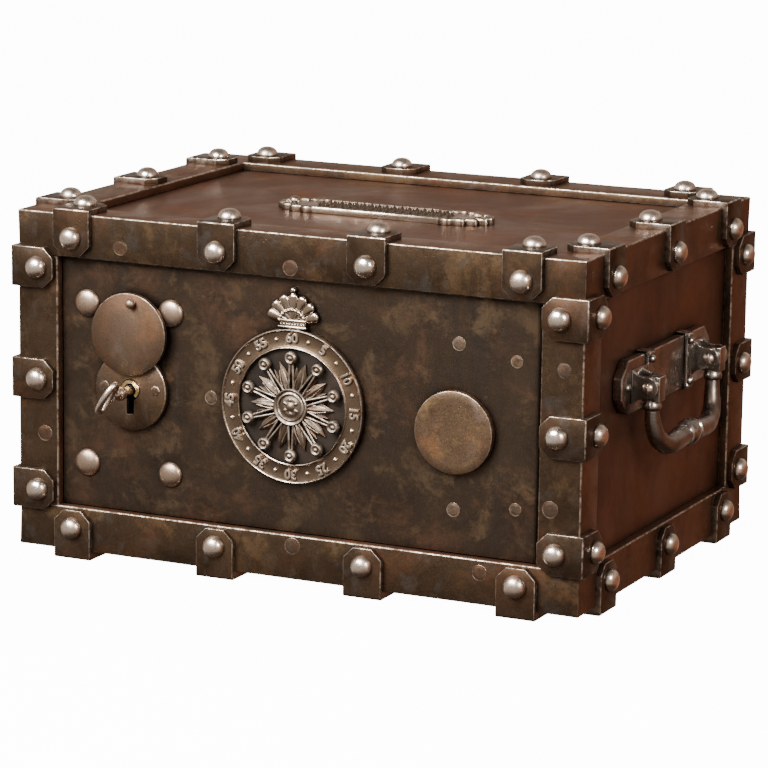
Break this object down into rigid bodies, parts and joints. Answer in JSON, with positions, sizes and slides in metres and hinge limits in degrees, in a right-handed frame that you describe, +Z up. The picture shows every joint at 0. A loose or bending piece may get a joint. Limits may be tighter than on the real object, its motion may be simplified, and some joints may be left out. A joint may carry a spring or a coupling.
{
  "type": "iron strongbox",
  "caption": "Riveted iron strongbox with a studded angle-iron frame, a front door with key lock and swinging keyhole cover, a round badge, a name plate and bail handles on its sides.",
  "frame": {"origin": "centre of the footprint on the ground, midway in depth between the key's bow and the rivets on the back, and midway between the two side handles", "axes": "+Z up, -Y out of the door at the front, +X towards the side that the door is hinged on"},
  "size_m": [0.4718, 0.3551, 0.2535],
  "materials": {
    "iron": "dark grey-brown patina with rust blotches and rubbed bright edges and rivet heads",
    "plate": "polished dark brown patina with ochre and rust blotches",
    "steel": "worn polished steel",
    "disc": "warm brown brushed steel with a bright edge",
    "casting": "browned casting with bright raised relief",
    "bush": "worn brass"
  },
  "bodies": {
    "body": {"top_front_iron": "iron", "top_back_iron": "iron", "top_left_iron": "iron", "top_right_iron": "iron", "bottom_front_iron": "iron", "bottom_back_iron": "iron", "bottom_left_iron": "iron", "bottom_right_iron": "iron", "front_left_post": "iron", "front_right_post": "iron", "back_left_post": "iron", "back_right_post": "iron", "top_plate": "plate", "bottom_plate": "plate", "left_plate": "plate", "right_plate": "plate", "back_plate": "plate", "door_frame": "plate", "door_pivot_top": "steel", "door_pivot_bottom": "steel", "nameplate": "casting", "nameplate_rivet_left": "steel", "nameplate_rivet_right": "steel", "right_handle_plate": "casting", "right_handle_bracket_front": "casting", "right_handle_bracket_rear": "casting", "right_handle_pin_front": "steel", "right_handle_pin_rear": "steel", "left_handle_plate": "casting", "left_handle_bracket_front": "casting", "left_handle_bracket_rear": "casting", "left_handle_pin_front": "steel", "left_handle_pin_rear": "steel"},
    "door": {"door_plate": "plate", "hinge_strap_upper": "plate", "hinge_strap_lower": "plate", "lock_stud_upper_left": "steel", "lock_stud_upper_right": "steel", "lock_stud_lower_left": "steel", "lock_stud_lower_right": "steel", "lock_case": "plate", "keyhole_escutcheon": "disc", "keyhole_bush": "bush", "cover_pivot_pin": "steel", "blind_disc": "disc", "badge_dish": "casting", "badge_rosette": "casting", "badge_crest": "casting"},
    "bolt": {"lock_bolt": "steel"},
    "key": {"key": "steel"},
    "cover": {"keyhole_cover": "disc", "cover_knob": "steel"},
    "right_bail": {"right_handle_bail": "casting"},
    "left_bail": {"left_handle_bail": "casting"}
  },
  "joints": [
    {"name": "door_hinge", "type": "hinge", "parent": "body", "child": "door", "pos_m": [0.174, -0.1285, 0.1235], "axis": [0, 0, 1], "range_deg": [0, 90]},
    {"name": "key_turn", "type": "hinge", "parent": "door", "child": "key", "pos_m": [-0.124, -0.139, 0.123], "axis": [0, -1, 0], "range_deg": [0, 270]},
    {"name": "bolt_slide", "type": "slide", "parent": "door", "child": "bolt", "axis": [-1, 0, 0], "range_m": [0, 0.014]},
    {"name": "cover_swing", "type": "hinge", "parent": "door", "child": "cover", "pos_m": [-0.1265, -0.1407, 0.1422], "axis": [0, 1, 0], "range_deg": [-86, 54]},
    {"name": "right_bail_swing", "type": "hinge", "parent": "body", "child": "right_bail", "pos_m": [0.2227, 0.0084, 0.1445], "axis": [0, -1, 0], "range_deg": [0, 110]},
    {"name": "left_bail_swing", "type": "hinge", "parent": "body", "child": "left_bail", "pos_m": [-0.2227, 0.0084, 0.1445], "axis": [0, 1, 0], "range_deg": [0, 110]}
  ],
  "couplings": [
    {"joint": "bolt_slide", "follows": "key_turn", "m_per_rad": 0.0029709}
  ]
}
